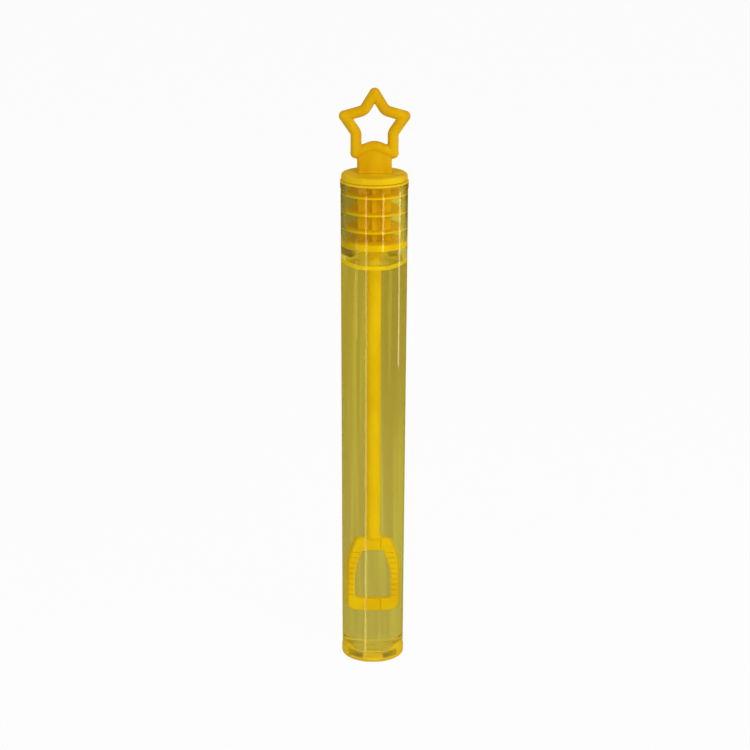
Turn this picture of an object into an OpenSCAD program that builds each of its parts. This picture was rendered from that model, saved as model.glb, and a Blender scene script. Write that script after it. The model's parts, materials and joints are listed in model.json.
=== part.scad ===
// Bubble wand in a clear tube: a bottle of bubble solution closed by a star-handled stopper,
// with the blowing loop on a stem under it. Millimetres. Z runs up the tube from the centre of
// its foot, and the star and the loop face -Y.

/* [Tube] */
// Height of the tube, from the surface it stands on to its rim
tube_h = 89; // [75:0.5:130]
// Outer diameter of the tube at its mouth, under the lip
tube_mouth_d = 11.8; // [11:0.1:16]
// How much narrower the tube is outside at its foot than at its mouth
tube_draft = 0.7; // [0:0.1:1.2]
// Thickness of the tube's wall
tube_wall = 0.75; // [0.5:0.05:1]
// Thickness of the tube's floor
tube_floor = 1.7; // [1.2:0.1:3]
// Rounding of the corner inside, between wall and floor
floor_corner_r = 0.6; // [0.2:0.1:1.2]
// How far the lip round the mouth stands out
lip_out = 0.08; // [0.02:0.01:0.3]
// Height of the lip
lip_h = 1.3; // [0.6:0.1:3]
// Rounding of the rim's two edges
rim_r = 0.15; // [0.05:0.01:0.25]
// How far the foot flares out
foot_out = 0.08; // [0.02:0.01:0.3]
// Height of the foot's flare
foot_h = 1.6; // [1:0.1:3]
// Rounding of the foot's outer edge
foot_edge_r = 0.4; // [0.1:0.05:0.8]
// Diameter of the hollow under the floor
foot_hollow_d = 7.6; // [4:0.1:9]
// Depth of the hollow under the floor
foot_hollow_depth = 0.4; // [0.2:0.05:0.8]
// Diameter of the moulding gate's stub in that hollow
gate_d = 1.7; // [1:0.1:3]
// Length of the gate's stub
gate_l = 0.25; // [0.1:0.05:0.4]

/* [Bubble solution] */
// Air left between the stopper's underside and the solution's surface, at the middle
solution_headspace = 3.1; // [2.2:0.1:40]
// How far the solution climbs at the wall
meniscus_rise = 0.75; // [0.2:0.05:0.8]
// Width of the band over which it climbs
meniscus_w = 1.3; // [0.5:0.1:2]
// Film of clearance between the solution and what it touches
solution_gap = 0.02; // [0.01:0.01:0.05]

/* [Stopper] */
// How far the edge of the flange over the tube's rim lies inside the lip
flange_inset = 0.18; // [0.02:0.02:0.4]
// Thickness of the flange
flange_t = 1.1; // [0.7:0.05:1.6]
// Rounding of the flange's top edge
flange_edge_r = 0.65; // [0.1:0.05:0.65]
// Gap left between the flange and the rim
flange_gap = 0.1; // [0.05:0.05:0.3]
// Depth of the stopper under the flange
plug_depth = 11.9; // [10.5:0.1:13]
// Number of thin sealing fins over the end disc
fin_count = 3; // [1:1:3]
// Distance from one fin's underside to the next
fin_pitch = 3.05; // [2:0.05:3.4]
// Thickness of a sealing fin
fin_t = 0.55; // [0.4:0.05:0.8]
// Thickness of the disc that ends the stopper
end_disc_t = 1.2; // [0.8:0.05:1.6]
// Running clearance between a fin's edge and the bore
fin_gap = 0.04; // [0.02:0.01:0.1]
// Width of the wide rib of the core, across the front
core_w = 5.7; // [4.5:0.1:7]
// Thickness of the wide rib, from front to back
core_t = 2.6; // [1.6:0.1:3.4]
// Thickness of the rib that runs from front to back
cross_rib_t = 0.8; // [0.5:0.05:1.2]
// Width of the flute on each side of that rib
flute_w = 0.8; // [0.4:0.05:1]
// Depth of the flutes
flute_depth = 0.7; // [0.3:0.05:0.8]

/* [Handle] */
// Width of the star over its side tips
star_w = 12.4; // [10:0.1:16]
// Height of the star over its tips
star_h = 12.35; // [10:0.05:16]
// Diameter of the star's round bead
bead_d = 1.86; // [1.4:0.02:2.2]
// Bend radius of the bead's middle at the star's inward corners
star_bend_r = 1.45; // [1.15:0.05:2]
// The same at the inward corner over the tab
crotch_bend_r = 4; // [1.15:0.05:6]
// Height of the tab's open stretch, between the flange and the star's lower tips
neck_h = 2.5; // [1.5:0.1:5]
// Width of the tab
tab_w = 6.05; // [4:0.05:6.4]
// Thickness of the tab
tab_t = 1.4; // [1:0.05:1.8]
// Chamfer on the tab's four upright edges
tab_chamfer = 0.4; // [0.1:0.05:0.45]

/* [Wand] */
// Clearance between the tube's floor and the bottom of the blowing loop
loop_floor_gap = 7.1; // [3:0.1:12]
// Diameter of the stem
stem_d = 1.85; // [1.4:0.05:2.2]
// Diameter of the collar where the stem leaves the stopper
collar_d = 2.3; // [2.25:0.05:3]
// Length of the collar
collar_l = 1.9; // [1:0.1:2]

/* [Blowing loop] */
// Clearance between the loop's corners and the bore, at the loop's foot
loop_side_gap = 1.08; // [0.4:0.02:1.5]
// Height of the loop
loop_h = 14.25; // [12:0.05:16]
// Depth of the loop, from front to back
loop_depth = 1.7; // [1.4:0.1:3.4]
// Thickness of the loop's two side bars
side_bar_t = 1.15; // [0.9:0.05:1.5]
// Thickness of the loop's top and bottom bars
end_bar_t = 2.4; // [1.6:0.05:2.6]
// Distance between the grooves that hold the film of solution
groove_pitch = 1.05; // [0.9:0.05:2]
// Width of a groove
groove_w = 0.3; // [0.2:0.05:0.5]
// Depth of a groove
groove_depth = 0.2; // [0.1:0.05:0.4]

/* [Hidden] */

YELLOW = [0.93, 0.71, 0.1];
CLEAR_YELLOW = [0.9, 0.86, 0.4, 0.4];
LIQUID_YELLOW = [0.72, 0.68, 0.25, 0.8];

// Sides of a full turn, and steps in one rounded corner of an outline
turn_sides = 96;
corner_steps = 6;
// Sides of the star's bead
bead_sides = 24;
// How much fuller the bead is at its corners, as a share of its radius, and how far a bend laps
// each run, in degrees
corner_swell_share = 1.03;
bend_lap = 3;
// Overrun of a cut past the face that it opens
cut_over = 0.2;

// Heights, from the surface that the tube stands on
flange_z = tube_h + flange_gap;
handle_z = flange_z + flange_t;
star_z = handle_z + neck_h;
plug_z = flange_z - plug_depth;
collar_z = plug_z - collar_l;
loop_z = tube_floor + loop_floor_gap;
stem_z = loop_z + loop_h;
solution_z = plug_z - solution_headspace;

// Radii of the tube at a height
mouth_r = tube_mouth_d / 2;
foot_r = mouth_r - tube_draft / 2;
function outer_r(z) = foot_r + (mouth_r - foot_r) * z / tube_h;
function bore_r(z) = outer_r(z) - tube_wall;
lip_r = mouth_r + lip_out;

// Width of the blowing loop, whose corners clear the bore
loop_w = 2 * sqrt(pow(bore_r(loop_z) - loop_side_gap, 2) - pow(loop_depth / 2, 2));

// Places along the star bead's middle, from its top tip down the right side: shares of half its
// width and of its height, both between the middles of the bead
star_tip_share = [0, 1];
star_shoulder_share = [0.353, 0.713];
star_side_share = [1, 0.62];
star_waist_share = [0.607, 0.336];
star_leg_share = [0.62, 0];
star_crotch_share = [0, 0.117];
// Height of the tab's top, as a share of the height of the bead's middle
tab_top_share = 0.09;

// Corners of the blowing loop's outline: shares of half its width and of its height
loop_foot_share = [1, 0];
loop_shoulder_share = [1, 0.68];
loop_top_share = [0.62, 1];
// The same for the hole, as shares of half the hole's width and of its height
hole_shoulder_share = [1, 0.58];
hole_top_share = [0.56, 1];
// Rounding of the outline's corners, as shares of half the loop's width
loop_foot_r_share = 0.3;
loop_shoulder_r_share = 4.5;
loop_top_r_share = 0.28;
// Most of a straight run that the roundings at its two ends may take up
run_fill_share = 0.98;
// Rounding of the hole's corners, as shares of half the hole's width
hole_foot_r_share = 0.18;
hole_shoulder_r_share = 5.4;
hole_top_r_share = 0.15;

function unit(v) = v / norm(v);
function turned(v, a) = [v[0] * cos(a) - v[1] * sin(a), v[0] * sin(a) + v[1] * cos(a)];

// Half the angle between the two runs that meet at b
function half_corner(a, b, c) = acos(unit(a - b) * unit(c - b)) / 2;
// Length of each run that a bend of radius r at b takes up
function bend_run(a, b, c, r) = r / tan(half_corner(a, b, c));
function bend_centre(a, b, c, r) =
    b + unit(unit(a - b) + unit(c - b)) * r / sin(half_corner(a, b, c));
// +1 where the path turns left at b, -1 where it turns right
function turn_side(a, b, c) = sign((b - a)[0] * (c - b)[1] - (b - a)[1] * (c - b)[0]);

// The points of the arc that rounds the corner at b
function corner_arc(a, b, c, r) =
    let (mid = bend_centre(a, b, c, r),
         start = b + unit(a - b) * bend_run(a, b, c, r) - mid,
         sweep = turn_side(a, b, c) * (180 - 2 * half_corner(a, b, c)))
    [for (i = [0:corner_steps]) mid + turned(start, sweep * i / corner_steps)];

// The radius at corner i, no larger than the runs beside it have room for
function fitted_r(points, radii, i) =
    let (n = len(points),
         run = [for (j = [i + n - 1:i + n + 1]) bend_run(
             points[(j + n - 1) % n], points[j % n], points[(j + 1) % n], radii[j % n])],
         before = norm(points[i] - points[(i + n - 1) % n]) / (run[0] + run[1]),
         after = norm(points[(i + 1) % n] - points[i]) / (run[1] + run[2]))
    radii[i] * min(1, run_fill_share * before, run_fill_share * after);

// A closed outline with a rounded corner at each of its points
function rounded(points, radii) =
    let (n = len(points))
    [for (i = [0:n - 1])
        each corner_arc(points[(i + n - 1) % n], points[i], points[(i + 1) % n],
            fitted_r(points, radii, i))];

// A left half added to a right half's points, so that the outline closes on the axis
function both_sides(right) =
    concat(right, [for (i = [len(right) - 1:-1:0]) [-right[i][0], right[i][1]]]);
function both_radii(right) = concat(right, [for (i = [len(right) - 1:-1:0]) right[i]]);

// Sizes of the blowing loop's outline and of its hole, grown by a clearance
function loop_points(grow) =
    let (half_w = loop_w / 2)
    both_sides([for (s = [loop_foot_share, loop_shoulder_share, loop_top_share])
        [s[0] * half_w + grow, s[1] * loop_h + (s[1] == 0 ? -grow : s[1] == 1 ? grow : 0)]]);
function loop_radii() =
    both_radii([loop_foot_r_share, loop_shoulder_r_share, loop_top_r_share] * loop_w / 2);
function hole_points(grow) =
    let (half_w = loop_w / 2 - side_bar_t, hole_h = loop_h - 2 * end_bar_t)
    both_sides([for (s = [loop_foot_share, hole_shoulder_share, hole_top_share])
        [s[0] * half_w - grow,
         end_bar_t + s[1] * hole_h + (s[1] == 0 ? grow : s[1] == 1 ? -grow : 0)]]);
function hole_radii() =
    both_radii([hole_foot_r_share, hole_shoulder_r_share, hole_top_r_share]
        * (loop_w / 2 - side_bar_t));

// The tube's inside, from the floor's middle up to a height, with the rounded floor corner
function inside_points(top_z, gap) =
    let (r = floor_corner_r, floor_z = tube_floor + gap, wall_r = bore_r(tube_floor) - gap)
    concat(
        [[0, floor_z]],
        [for (i = [0:corner_steps]) let (a = 90 * i / corner_steps)
            [wall_r - r + r * sin(a), floor_z + r - r * cos(a)]],
        [[bore_r(top_z) - gap, top_z]]);

// Clear tube with a lip, a flared foot, a hollow under the floor and the gate's stub in it
module tube() {
    foot_flare_r = outer_r(0) + foot_out;
    inside = inside_points(tube_h - rim_r, 0);
    outside = concat(
        [[lip_r - rim_r, tube_h], [lip_r, tube_h - rim_r],
         [lip_r, tube_h - lip_h], [outer_r(tube_h - lip_h - lip_out), tube_h - lip_h - lip_out],
         [outer_r(foot_h + foot_out), foot_h + foot_out], [foot_flare_r, foot_h]],
        [for (i = [0:corner_steps]) let (a = 90 * i / corner_steps)
            [foot_flare_r - foot_edge_r + foot_edge_r * cos(a), foot_edge_r - foot_edge_r * sin(a)]],
        [[foot_hollow_d / 2, 0], [foot_hollow_d / 2, foot_hollow_depth],
         [gate_d / 2, foot_hollow_depth], [gate_d / 2, foot_hollow_depth - gate_l],
         [0, foot_hollow_depth - gate_l]]);
    mouth = [[bore_r(tube_h) + rim_r, tube_h]];
    color(CLEAR_YELLOW) rotate_extrude($fn = turn_sides) polygon(concat(inside, mouth, outside));
}

// Bubble solution: it fills the tube round the stem and the loop, and climbs at the wall
module bubble_solution() {
    wall_r = bore_r(solution_z) - solution_gap;
    curve = [for (i = [1:corner_steps]) let (t = i / corner_steps)
        [wall_r - meniscus_w * t, solution_z + meniscus_rise * pow(1 - t, 2)]];
    color(LIQUID_YELLOW) difference() {
        rotate_extrude($fn = turn_sides)
            polygon(concat(inside_points(solution_z + meniscus_rise, solution_gap), curve,
                [[0, solution_z]]));
        translate([0, 0, stem_z - cut_over])
            cylinder(d = stem_d + 2 * solution_gap, h = solution_z - stem_z + 2 * cut_over,
                $fn = turn_sides);
        standing(loop_depth + 2 * solution_gap) difference() {
            polygon(rounded(loop_points(solution_gap), loop_radii()));
            polygon(rounded(hole_points(solution_gap), hole_radii()));
        }
    }
}

// A flat outline stood up across the front, at the height of the blowing loop
module standing(depth) {
    translate([0, depth / 2, loop_z]) rotate([90, 0, 0]) linear_extrude(height = depth) children();
}

// The star's bead is drawn flat, with Y for height, from these points of its middle
bead_r = bead_d / 2;
corner_r = bead_r * corner_swell_share;
star_half_w = star_w / 2 - corner_r;
star_rise = star_h - 2 * corner_r;
star_shares = [star_tip_share, star_shoulder_share, star_side_share, star_waist_share,
    star_leg_share, star_crotch_share];
star_right = [for (s = star_shares) [s[0] * star_half_w, s[1] * star_rise + corner_r]];
star_left = [for (i = [len(star_right) - 2:-1:1]) [-star_right[i][0], star_right[i][1]]];
star_path = concat(star_right, star_left);
// The path's tips are sharp, with a ball on each, and its inward corners are bends
function is_bend(i) = i % 2 == 1;
function star_at(i) = star_path[(i + len(star_path)) % len(star_path)];
function bend_r(i) = i == len(star_right) - 1 ? crotch_bend_r : star_bend_r;
function bend_here(i) =
    is_bend(i) ? bend_run(star_at(i - 1), star_at(i), star_at(i + 1), bend_r(i)) : 0;
// Direction of the hole from a tip
function inwards(i) = unit(unit(star_at(i - 1) - star_at(i)) + unit(star_at(i + 1) - star_at(i)));

// A straight run of the bead between two points of its path
module bead_run(a, b) {
    translate([a[0], a[1], 0]) rotate([0, 0, atan2((b - a)[1], (b - a)[0])]) rotate([0, 90, 0])
        cylinder(r = bead_r, h = norm(b - a), $fn = bead_sides);
}

// A ball at a tip of the bead, turned so that its poles and its seam lie inside the two runs
module bead_ball(at, way) {
    translate([at[0], at[1], 0]) rotate([0, 0, atan2(way[1], way[0])]) rotate([90, 0, 0])
        sphere(r = corner_r, $fn = bead_sides);
}

// A bend of the bead, of radius r, at the corner b
module bead_bend(a, b, c, r) {
    mid = bend_centre(a, b, c, r);
    start = b + unit(a - b) * bend_run(a, b, c, r) - mid;
    sweep = 180 - 2 * half_corner(a, b, c);
    first = atan2(start[1], start[0]) - (turn_side(a, b, c) < 0 ? sweep : 0) - bend_lap;
    translate([mid[0], mid[1], 0]) rotate([0, 0, first])
        rotate_extrude(angle = sweep + 2 * bend_lap, $fn = turn_sides) translate([r, 0])
            circle(r = corner_r, $fn = bead_sides);
}

// Open star of round bead, to hold the wand by
module star_ring() {
    for (i = [0:len(star_path) - 1]) {
        here = star_at(i);
        next = star_at(i + 1);
        way = unit(next - here);
        bead_run(here + way * bend_here(i), next - way * bend_here(i + 1));
        if (is_bend(i)) bead_bend(star_at(i - 1), here, next, bend_r(i));
        else bead_ball(here, inwards(i));
    }
}

// Flat tab that carries the star, chamfered down its upright edges
module tab() {
    tab_h = neck_h + corner_r + tab_top_share * star_rise;
    half_w = tab_w / 2;
    half_t = tab_t / 2;
    translate([0, 0, handle_z]) linear_extrude(height = tab_h) polygon([
        [half_w - tab_chamfer, -half_t], [half_w, tab_chamfer - half_t],
        [half_w, half_t - tab_chamfer], [half_w - tab_chamfer, half_t],
        [tab_chamfer - half_w, half_t], [-half_w, half_t - tab_chamfer],
        [-half_w, tab_chamfer - half_t], [tab_chamfer - half_w, -half_t]
    ]);
}

// Star and tab, the part of the moulding that the fingers hold
module star_handle() {
    color(YELLOW) union() {
        translate([0, 0, star_z]) rotate([90, 0, 0]) star_ring();
        tab();
    }
}

// Flange that closes the mouth, with its top edge rounded
module mouth_flange() {
    r = lip_r - flange_inset;
    flat_r = r - flange_edge_r;
    flat_h = flange_t - flange_edge_r;
    color(YELLOW) translate([0, 0, flange_z]) rotate_extrude($fn = turn_sides) polygon(concat(
        [[0, 0], [r, 0]],
        [for (i = [0:corner_steps]) let (a = 90 * i / corner_steps)
            [flat_r + flange_edge_r * cos(a), flat_h + flange_edge_r * sin(a)]],
        [[0, flange_t]]));
}

// Plan of the core: a wide rib across the front, fluted beside a thin rib from front to back
module core_plan() {
    difference() {
        square([core_w, core_t], center = true);
        for (side = [-1, 1], face = [-1, 1])
            translate([side * (cross_rib_t + flute_w) / 2, face * (core_t + cut_over - flute_depth) / 2])
                square([flute_w, flute_depth + cut_over], center = true);
    }
    square([cross_rib_t, core_w], center = true);
}

// Ribbed core of the stopper, from the flange down to the end disc
module plug_core() {
    core_z = plug_z + end_disc_t;
    color(YELLOW) translate([0, 0, core_z]) linear_extrude(height = flange_z - core_z) core_plan();
}

// Thin sealing fins round the core
module seal_fins() {
    for (i = [1:fin_count]) {
        fin_z = plug_z + i * fin_pitch;
        color(YELLOW) difference() {
            translate([0, 0, fin_z])
                cylinder(r = bore_r(fin_z) - fin_gap, h = fin_t, $fn = turn_sides);
            translate([0, 0, fin_z - cut_over])
                linear_extrude(height = fin_t + 2 * cut_over) core_plan();
        }
    }
}

// Thicker disc that ends the stopper
module plug_end_disc() {
    color(YELLOW) translate([0, 0, plug_z])
        cylinder(r = bore_r(plug_z) - fin_gap, h = end_disc_t, $fn = turn_sides);
}

// Short collar under the end disc
module stem_collar() {
    color(YELLOW) translate([0, 0, collar_z]) cylinder(d = collar_d, h = collar_l, $fn = turn_sides);
}

// Round stem from the collar down to the blowing loop
module wand_stem() {
    color(YELLOW) translate([0, 0, stem_z]) cylinder(d = stem_d, h = collar_z - stem_z, $fn = turn_sides);
}

// Grooves across the side bars, then across the top and bottom bars, on one face of the loop
module loop_grooves() {
    reach = groove_depth + cut_over;
    hole_h = loop_h - 2 * end_bar_t;
    side_count = floor(hole_h / groove_pitch);
    end_w = loop_top_share[0] * loop_w;
    end_count = floor(end_w / groove_pitch);
    first_z = (loop_h - (side_count - 1) * groove_pitch - groove_w) / 2;
    for (i = [0:side_count - 1])
        translate([-loop_w, first_z + i * groove_pitch, 0]) cube([2 * loop_w, groove_w, reach]);
    for (i = [0:end_count - 1], bar_z = [-cut_over, loop_h - end_bar_t])
        translate([(-(end_count - 1) * groove_pitch - groove_w) / 2 + i * groove_pitch, bar_z, 0])
            cube([groove_w, end_bar_t + cut_over, reach]);
}

// Blowing loop: a bell-shaped ring with grooves on both faces
module bubble_loop() {
    color(YELLOW) difference() {
        standing(loop_depth) difference() {
            polygon(rounded(loop_points(0), loop_radii()));
            polygon(rounded(hole_points(0), hole_radii()));
        }
        for (back = [0, 180])
            translate([0, 0, loop_z]) rotate([0, 0, back]) rotate([90, 0, 0])
                translate([0, 0, loop_depth / 2 - groove_depth]) loop_grooves();
    }
}

tube();
bubble_solution();
star_handle();
mouth_flange();
plug_core();
seal_fins();
plug_end_disc();
stem_collar();
wand_stem();
bubble_loop();
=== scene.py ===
"""Bubble wand in a clear tube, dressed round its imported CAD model.

A yellow moulding, with a star to hold it by, a finned stopper, a stem and a blowing loop, stands
in a clear tube of bubble solution. The pieces sit where the CAD nodes are. Lengths are in metres.
"""

import json
import logging
import math
from dataclasses import dataclass, field
from enum import Enum
from functools import cached_property
from typing import Any, Callable, Sequence, Union

import bmesh
import bpy
from mathutils import Matrix, Vector

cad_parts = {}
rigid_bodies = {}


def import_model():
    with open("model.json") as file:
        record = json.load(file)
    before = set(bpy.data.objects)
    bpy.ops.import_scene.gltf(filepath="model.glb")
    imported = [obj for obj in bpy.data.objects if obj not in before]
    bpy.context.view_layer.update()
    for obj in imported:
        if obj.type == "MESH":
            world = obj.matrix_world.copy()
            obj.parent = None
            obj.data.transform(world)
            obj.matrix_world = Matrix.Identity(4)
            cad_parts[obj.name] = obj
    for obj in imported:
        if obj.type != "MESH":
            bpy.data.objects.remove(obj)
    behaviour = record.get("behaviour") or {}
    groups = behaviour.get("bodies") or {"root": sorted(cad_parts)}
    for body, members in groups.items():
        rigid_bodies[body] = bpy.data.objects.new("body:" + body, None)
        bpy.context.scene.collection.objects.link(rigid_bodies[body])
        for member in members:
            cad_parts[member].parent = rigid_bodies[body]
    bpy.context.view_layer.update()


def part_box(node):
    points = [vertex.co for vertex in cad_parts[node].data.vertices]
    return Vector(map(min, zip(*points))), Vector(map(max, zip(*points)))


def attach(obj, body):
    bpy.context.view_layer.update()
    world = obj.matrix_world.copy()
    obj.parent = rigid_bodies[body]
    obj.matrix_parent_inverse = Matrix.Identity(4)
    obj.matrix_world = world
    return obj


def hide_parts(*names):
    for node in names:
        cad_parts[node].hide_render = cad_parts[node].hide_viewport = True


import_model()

MM = 0.001

logging.basicConfig(level=logging.INFO, format="%(message)s")
log = logging.getLogger("bubble_wand")

Point = tuple[float, float]
Triple = tuple[float, float, float]
Colour = Triple
Number = Union["Term", float]


def mm(*lengths: float) -> tuple[float, ...]:
    """Lengths that are given in millimetres."""
    return tuple(length * MM for length in lengths)


class Body(Enum):
    """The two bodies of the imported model."""

    BOTTLE = "bottle"
    WAND = "wand"


class Pick(Enum):
    """What a selection in edit mode takes."""

    VERTICES = "VERT"
    EDGES = "EDGE"
    FACES = "FACE"


# Modelling, as by hand


@dataclass
class Bench:
    """The workbench: one mesh object at a time, shaped in edit mode."""

    weld: float = 0.002 * MM
    smooth_angle: float = math.radians(32)
    bar_sides: int = 32
    piece: bpy.types.Object = field(default=None, init=False)

    def begin(self, name: str, add: Callable[..., Any], **sizes: Any) -> bpy.types.Object:
        """Adds a primitive as a new object and enters edit mode on it.

        Args:
            name: Name of the piece.
            add: Operator that adds the primitive.
            **sizes: Sizes and place of the primitive.

        Returns:
            The new object.
        """
        bpy.ops.object.select_all(action="DESELECT")
        add(**sizes)
        self.piece = bpy.context.active_object
        self.piece.name = self.piece.data.name = name
        bpy.ops.object.transform_apply(location=True, rotation=True, scale=True)
        bpy.ops.object.mode_set(mode="EDIT")
        return self.piece

    def pick(self, kind: Pick, test: Callable[[Any], bool]) -> None:
        """Selects the vertices, edges or faces that pass a test, and nothing else.

        Args:
            kind: What to select.
            test: Says whether one of them is wanted.
        """
        bpy.ops.mesh.select_mode(type=kind.value)
        bpy.ops.mesh.select_all(action="DESELECT")
        mesh = bmesh.from_edit_mesh(self.piece.data)
        parts = {Pick.VERTICES: mesh.verts, Pick.EDGES: mesh.edges, Pick.FACES: mesh.faces}[kind]
        for part in [part for part in parts if test(part)]:
            part.select_set(True)
        bmesh.update_edit_mesh(self.piece.data)

    def trace(self, points: Sequence[Vector], closed: bool = False) -> None:
        """Draws a line through points by extruding one vertex from each to the next.

        Args:
            points: The places that the line goes through.
            closed: Whether its last point is joined to its first.
        """
        bpy.ops.mesh.primitive_plane_add(size=MM, location=points[0])
        bpy.ops.mesh.merge(type="CENTER")
        for here, there in zip(points, points[1:]):
            bpy.ops.mesh.extrude_region_move(TRANSFORM_OT_translate={"value": there - here})
        if closed:
            self.pick(Pick.VERTICES, lambda v: min((v.co - points[0]).length,
                                                   (v.co - points[-1]).length) < self.weld)
            bpy.ops.mesh.edge_face_add()

    def blank(self, name: str) -> bpy.types.Object:
        """Starts an empty piece in edit mode, to draw it from lines.

        Args:
            name: Name of the piece.

        Returns:
            The empty piece.
        """
        self.begin(name, bpy.ops.mesh.primitive_plane_add, size=MM)
        bpy.ops.mesh.select_all(action="SELECT")
        bpy.ops.mesh.delete(type="VERT")
        return self.piece

    def draw(self, name: str, points: Sequence[Vector], closed: bool) -> None:
        """Starts a piece as a line, which it leaves selected in edit mode.

        Args:
            name: Name of the piece.
            points: The places that the line goes through.
            closed: Whether its last point is joined to its first.
        """
        self.blank(name)
        self.trace(points, closed)
        bpy.ops.mesh.select_all(action="SELECT")

    def lathe(self, name: str, profile: Sequence[Point], sides: int, closed: bool = False) -> None:
        """Spins a profile about Z into a closed shell.

        Args:
            name: Name of the piece.
            profile: Radius and height of each point, with both ends on the axis unless closed.
            sides: Number of sides of the full turn.
            closed: Whether the profile is a closed section, for a ring.
        """
        self.draw(name, [Vector((r, 0, z)) for r, z in profile], closed)
        bpy.ops.mesh.spin(steps=sides, angle=math.tau, center=(0, 0, 0), axis=(0, 0, 1))
        self.close()

    def prism(self, name: str, plan: Sequence[Point], bottom: float, top: float) -> None:
        """Raises a flat plan into a prism along Z.

        Args:
            name: Name of the piece.
            plan: X and Y of the plan's corners.
            bottom: Height of its underside.
            top: Height of its top.
        """
        self.draw(name, [Vector((x, y, bottom)) for x, y in plan], True)
        bpy.ops.mesh.edge_face_add()
        bpy.ops.mesh.extrude_region_move(TRANSFORM_OT_translate={"value": (0, 0, top - bottom)})
        self.close()

    def limb(self, start: Vector, end: Vector, radius: float) -> None:
        """Adds a round bar between two points to the mesh."""
        way = end - start
        bpy.ops.mesh.primitive_cylinder_add(
            vertices=self.bar_sides, radius=radius, depth=way.length,
            location=(start + end) / 2, rotation=way.to_track_quat("Z", "Y").to_euler())

    def ball(self, place: Vector, radius: float) -> None:
        """Adds a ball to the mesh."""
        bpy.ops.mesh.primitive_uv_sphere_add(
            segments=self.bar_sides, ring_count=self.bar_sides // 2, location=place,
            radius=radius)

    def close(self) -> None:
        """Welds doubled vertices and turns the normals outwards."""
        bpy.ops.mesh.select_all(action="SELECT")
        bpy.ops.mesh.remove_doubles(threshold=self.weld)
        bpy.ops.mesh.normals_make_consistent(inside=False)

    @staticmethod
    def leave() -> None:
        """Leaves edit mode, if it is on."""
        if bpy.context.mode != "OBJECT":
            bpy.ops.object.mode_set(mode="OBJECT")

    def modify(self, kind: str, **settings: Any) -> None:
        """Leaves edit mode, and adds a modifier to the piece and applies it.

        Args:
            kind: Type of the modifier.
            **settings: Its settings.
        """
        self.leave()
        made = self.piece.modifiers.new(kind.lower(), kind)
        for key, value in settings.items():
            setattr(made, key, value)
        bpy.ops.object.modifier_apply(modifier=made.name)

    def take(self, piece: bpy.types.Object) -> None:
        """Takes up an earlier piece in object mode, alone selected and active.

        Args:
            piece: The earlier piece.
        """
        bpy.ops.object.select_all(action="DESELECT")
        piece.select_set(True)
        bpy.context.view_layer.objects.active = self.piece = piece

    def carve(self, cutter: bpy.types.Object) -> None:
        """Cuts the piece with another object, which is then deleted."""
        self.modify("BOOLEAN", operation="DIFFERENCE", solver="EXACT", object=cutter)
        bpy.data.objects.remove(cutter)

    def finish(self, body: Body, nodes: Sequence[str], dress: "Finish") -> None:
        """Leaves edit mode, smooths the piece, dresses it and hands it to its body.

        Args:
            body: The body that the piece moves with.
            nodes: CAD nodes that it stands for.
            dress: Its finish.
        """
        self.leave()
        bpy.ops.object.shade_smooth_by_angle(angle=self.smooth_angle)
        self.piece.data.materials.clear()
        self.piece.data.materials.append(dress.material())
        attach(self.piece, body.value)
        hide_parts(*nodes)
        log.info("%s: %d faces", self.piece.name, len(self.piece.data.polygons))


BENCH = Bench()


def arc(centre: Point, radius: float, start: float, end: float, steps: int) -> list[Point]:
    """Points of an arc between two angles in degrees, both ends included."""
    angles = [math.radians(start + (end - start) * i / steps) for i in range(steps + 1)]
    return [(centre[0] + radius * math.cos(a), centre[1] + radius * math.sin(a)) for a in angles]


def even(steps: int) -> list[float]:
    """Even shares from 0 to 1."""
    return [i / steps for i in range(steps + 1)]


def rounded(points: Sequence[Point], radii: Sequence[float], steps: int) -> list[Point]:
    """Rounds each corner of a closed outline.

    Args:
        points: The corners.
        radii: Radius at each corner, 0 for a sharp one.
        steps: Steps in each rounding.

    Returns:
        The rounded outline.
    """
    out: list[Point] = []
    for i, radius in enumerate(radii):
        before, here, after = (Vector(points[(i + k) % len(points)]) for k in (-1, 0, 1))
        to_before, to_after = (before - here).normalized(), (after - here).normalized()
        half = to_before.angle(to_after) / 2
        if radius <= 0:
            out.append((here.x, here.y))
            continue
        centre = here + (to_before + to_after).normalized() * (radius / math.sin(half))
        start = here + to_before * (radius / math.tan(half)) - centre
        turn = 1 if to_before.x * to_after.y - to_before.y * to_after.x < 0 else -1
        sweep = turn * (math.pi - 2 * half)
        for k in range(steps + 1):
            at = centre + Matrix.Rotation(sweep * k / steps, 2) @ start
            out.append((at.x, at.y))
    return out


# Shader maths, written as Python expressions


@dataclass(frozen=True)
class Term:
    """A number that a shader works out, which sums and products can be written with."""

    shader: "Shader"
    socket: bpy.types.NodeSocket

    def math(self, operation: str, *others: Number) -> "Term":
        """Adds a Math node, whose first input is this number."""
        return self.shader.math(operation, self, *others)

    def __add__(self, other: Number) -> "Term":
        """Sum."""
        return self.math("ADD", other)

    __radd__ = __add__

    def __mul__(self, other: Number) -> "Term":
        """Product."""
        return self.math("MULTIPLY", other)

    __rmul__ = __mul__

    def __sub__(self, other: Number) -> "Term":
        """Difference."""
        return self.math("SUBTRACT", other)

    def __rsub__(self, other: Number) -> "Term":
        """Difference from a plain number."""
        return self.shader.math("SUBTRACT", other, self)

    def __truediv__(self, other: Number) -> "Term":
        """Quotient."""
        return self.math("DIVIDE", other)

    def __abs__(self) -> "Term":
        """Size without sign."""
        return self.math("ABSOLUTE")


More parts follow.
